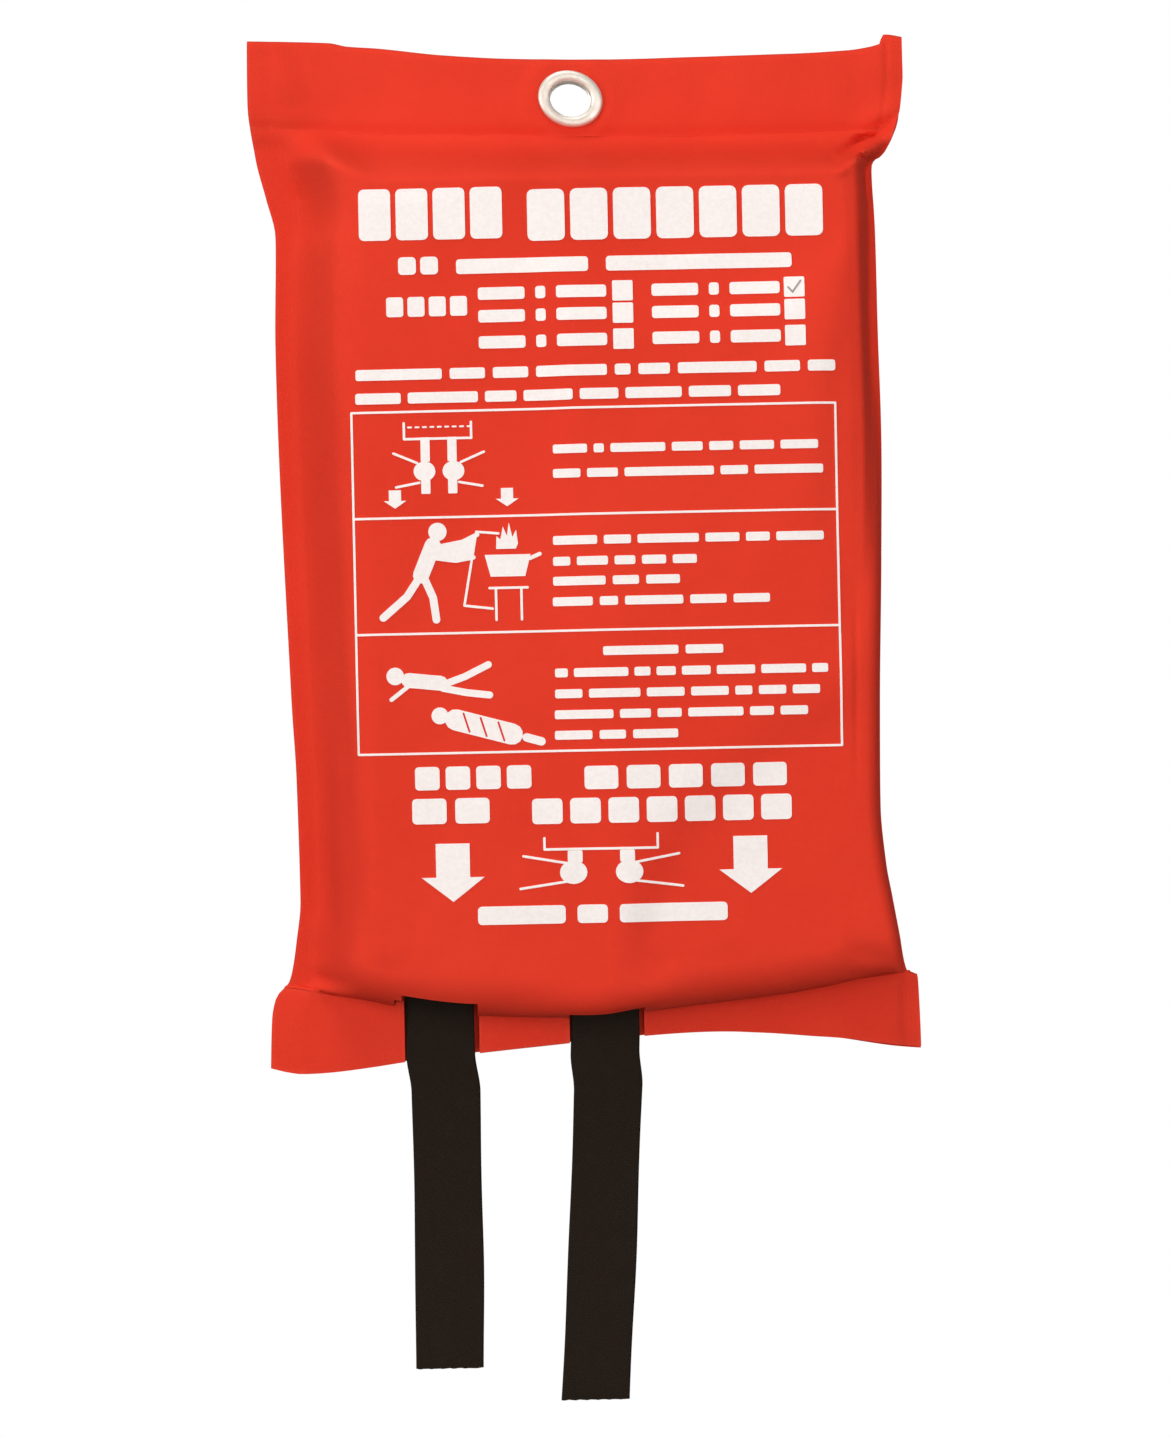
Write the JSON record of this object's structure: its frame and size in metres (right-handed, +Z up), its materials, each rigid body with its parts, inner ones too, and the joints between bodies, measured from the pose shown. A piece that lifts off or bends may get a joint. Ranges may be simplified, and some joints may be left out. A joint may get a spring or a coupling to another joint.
{
  "type": "fire blanket in a soft wall pouch",
  "caption": "Folded fire blanket in a soft red fabric pouch that hangs on a wall by an eyelet, with pull tapes that draw the blanket out of the mouth at the bottom.",
  "frame": {"origin": "middle of the pouch's flat back, in the plane of the wall it hangs on", "axes": "+Z up, towards the header and its eyelet; +Y into the wall, so the printed front faces -Y; +X to the right of a person who faces the pouch"},
  "size_m": [0.189, 0.0274, 0.3934],
  "materials": {
    "red_fabric": "satin",
    "black_webbing": "matte",
    "glass_cloth": "satin",
    "white_thread": "matte",
    "black_thread": "matte",
    "nickel": "polished",
    "hook_and_loop": "matte"
  },
  "bodies": {
    "pouch": {"back_panel": "red_fabric", "front_panel": "red_fabric", "header_band": "red_fabric", "eyelet": "nickel", "eyelet_washer": "nickel", "loop_patch_left": "hook_and_loop", "loop_patch_middle": "hook_and_loop", "loop_patch_right": "hook_and_loop"},
    "flap": {"mouth_flap": "red_fabric", "hook_patch_left": "hook_and_loop", "hook_patch_middle": "hook_and_loop", "hook_patch_right": "hook_and_loop"},
    "blanket": {"folded_blanket": "glass_cloth", "blanket_hem_stitching": "white_thread", "left_tape_sewn_end": "black_webbing", "left_tape_stitching": "black_thread", "right_tape_sewn_end": "black_webbing", "right_tape_stitching": "black_thread"},
    "left_tape": {"left_pull_tape": "black_webbing"},
    "right_tape": {"right_pull_tape": "black_webbing"}
  },
  "joints": [
    {"name": "blanket_slide", "type": "slide", "parent": "pouch", "child": "blanket", "axis": [0, 0, -1], "range_m": [0, 0.27], "deforming": ["mouth_flap", "hook_patch_left", "hook_patch_middle", "hook_patch_right"]},
    {"name": "mouth_flap_hinge", "type": "hinge", "parent": "pouch", "child": "flap", "pos_m": [0, -0.02515, -0.1216], "axis": [-1, 0, 0], "range_deg": [0, 95]},
    {"name": "left_tape_swing", "type": "hinge", "parent": "blanket", "child": "left_tape", "pos_m": [-0.0442, -0.0037, -0.151], "axis": [0, 1, 0], "range_deg": [-8, 45]},
    {"name": "right_tape_swing", "type": "hinge", "parent": "blanket", "child": "right_tape", "pos_m": [0.0035, -0.0037, -0.151], "axis": [0, -1, 0], "range_deg": [-4, 45]}
  ],
  "couplings": [
    {"joint": "mouth_flap_hinge", "follows": "blanket_slide", "rad_per_m": 6.141}
  ]
}
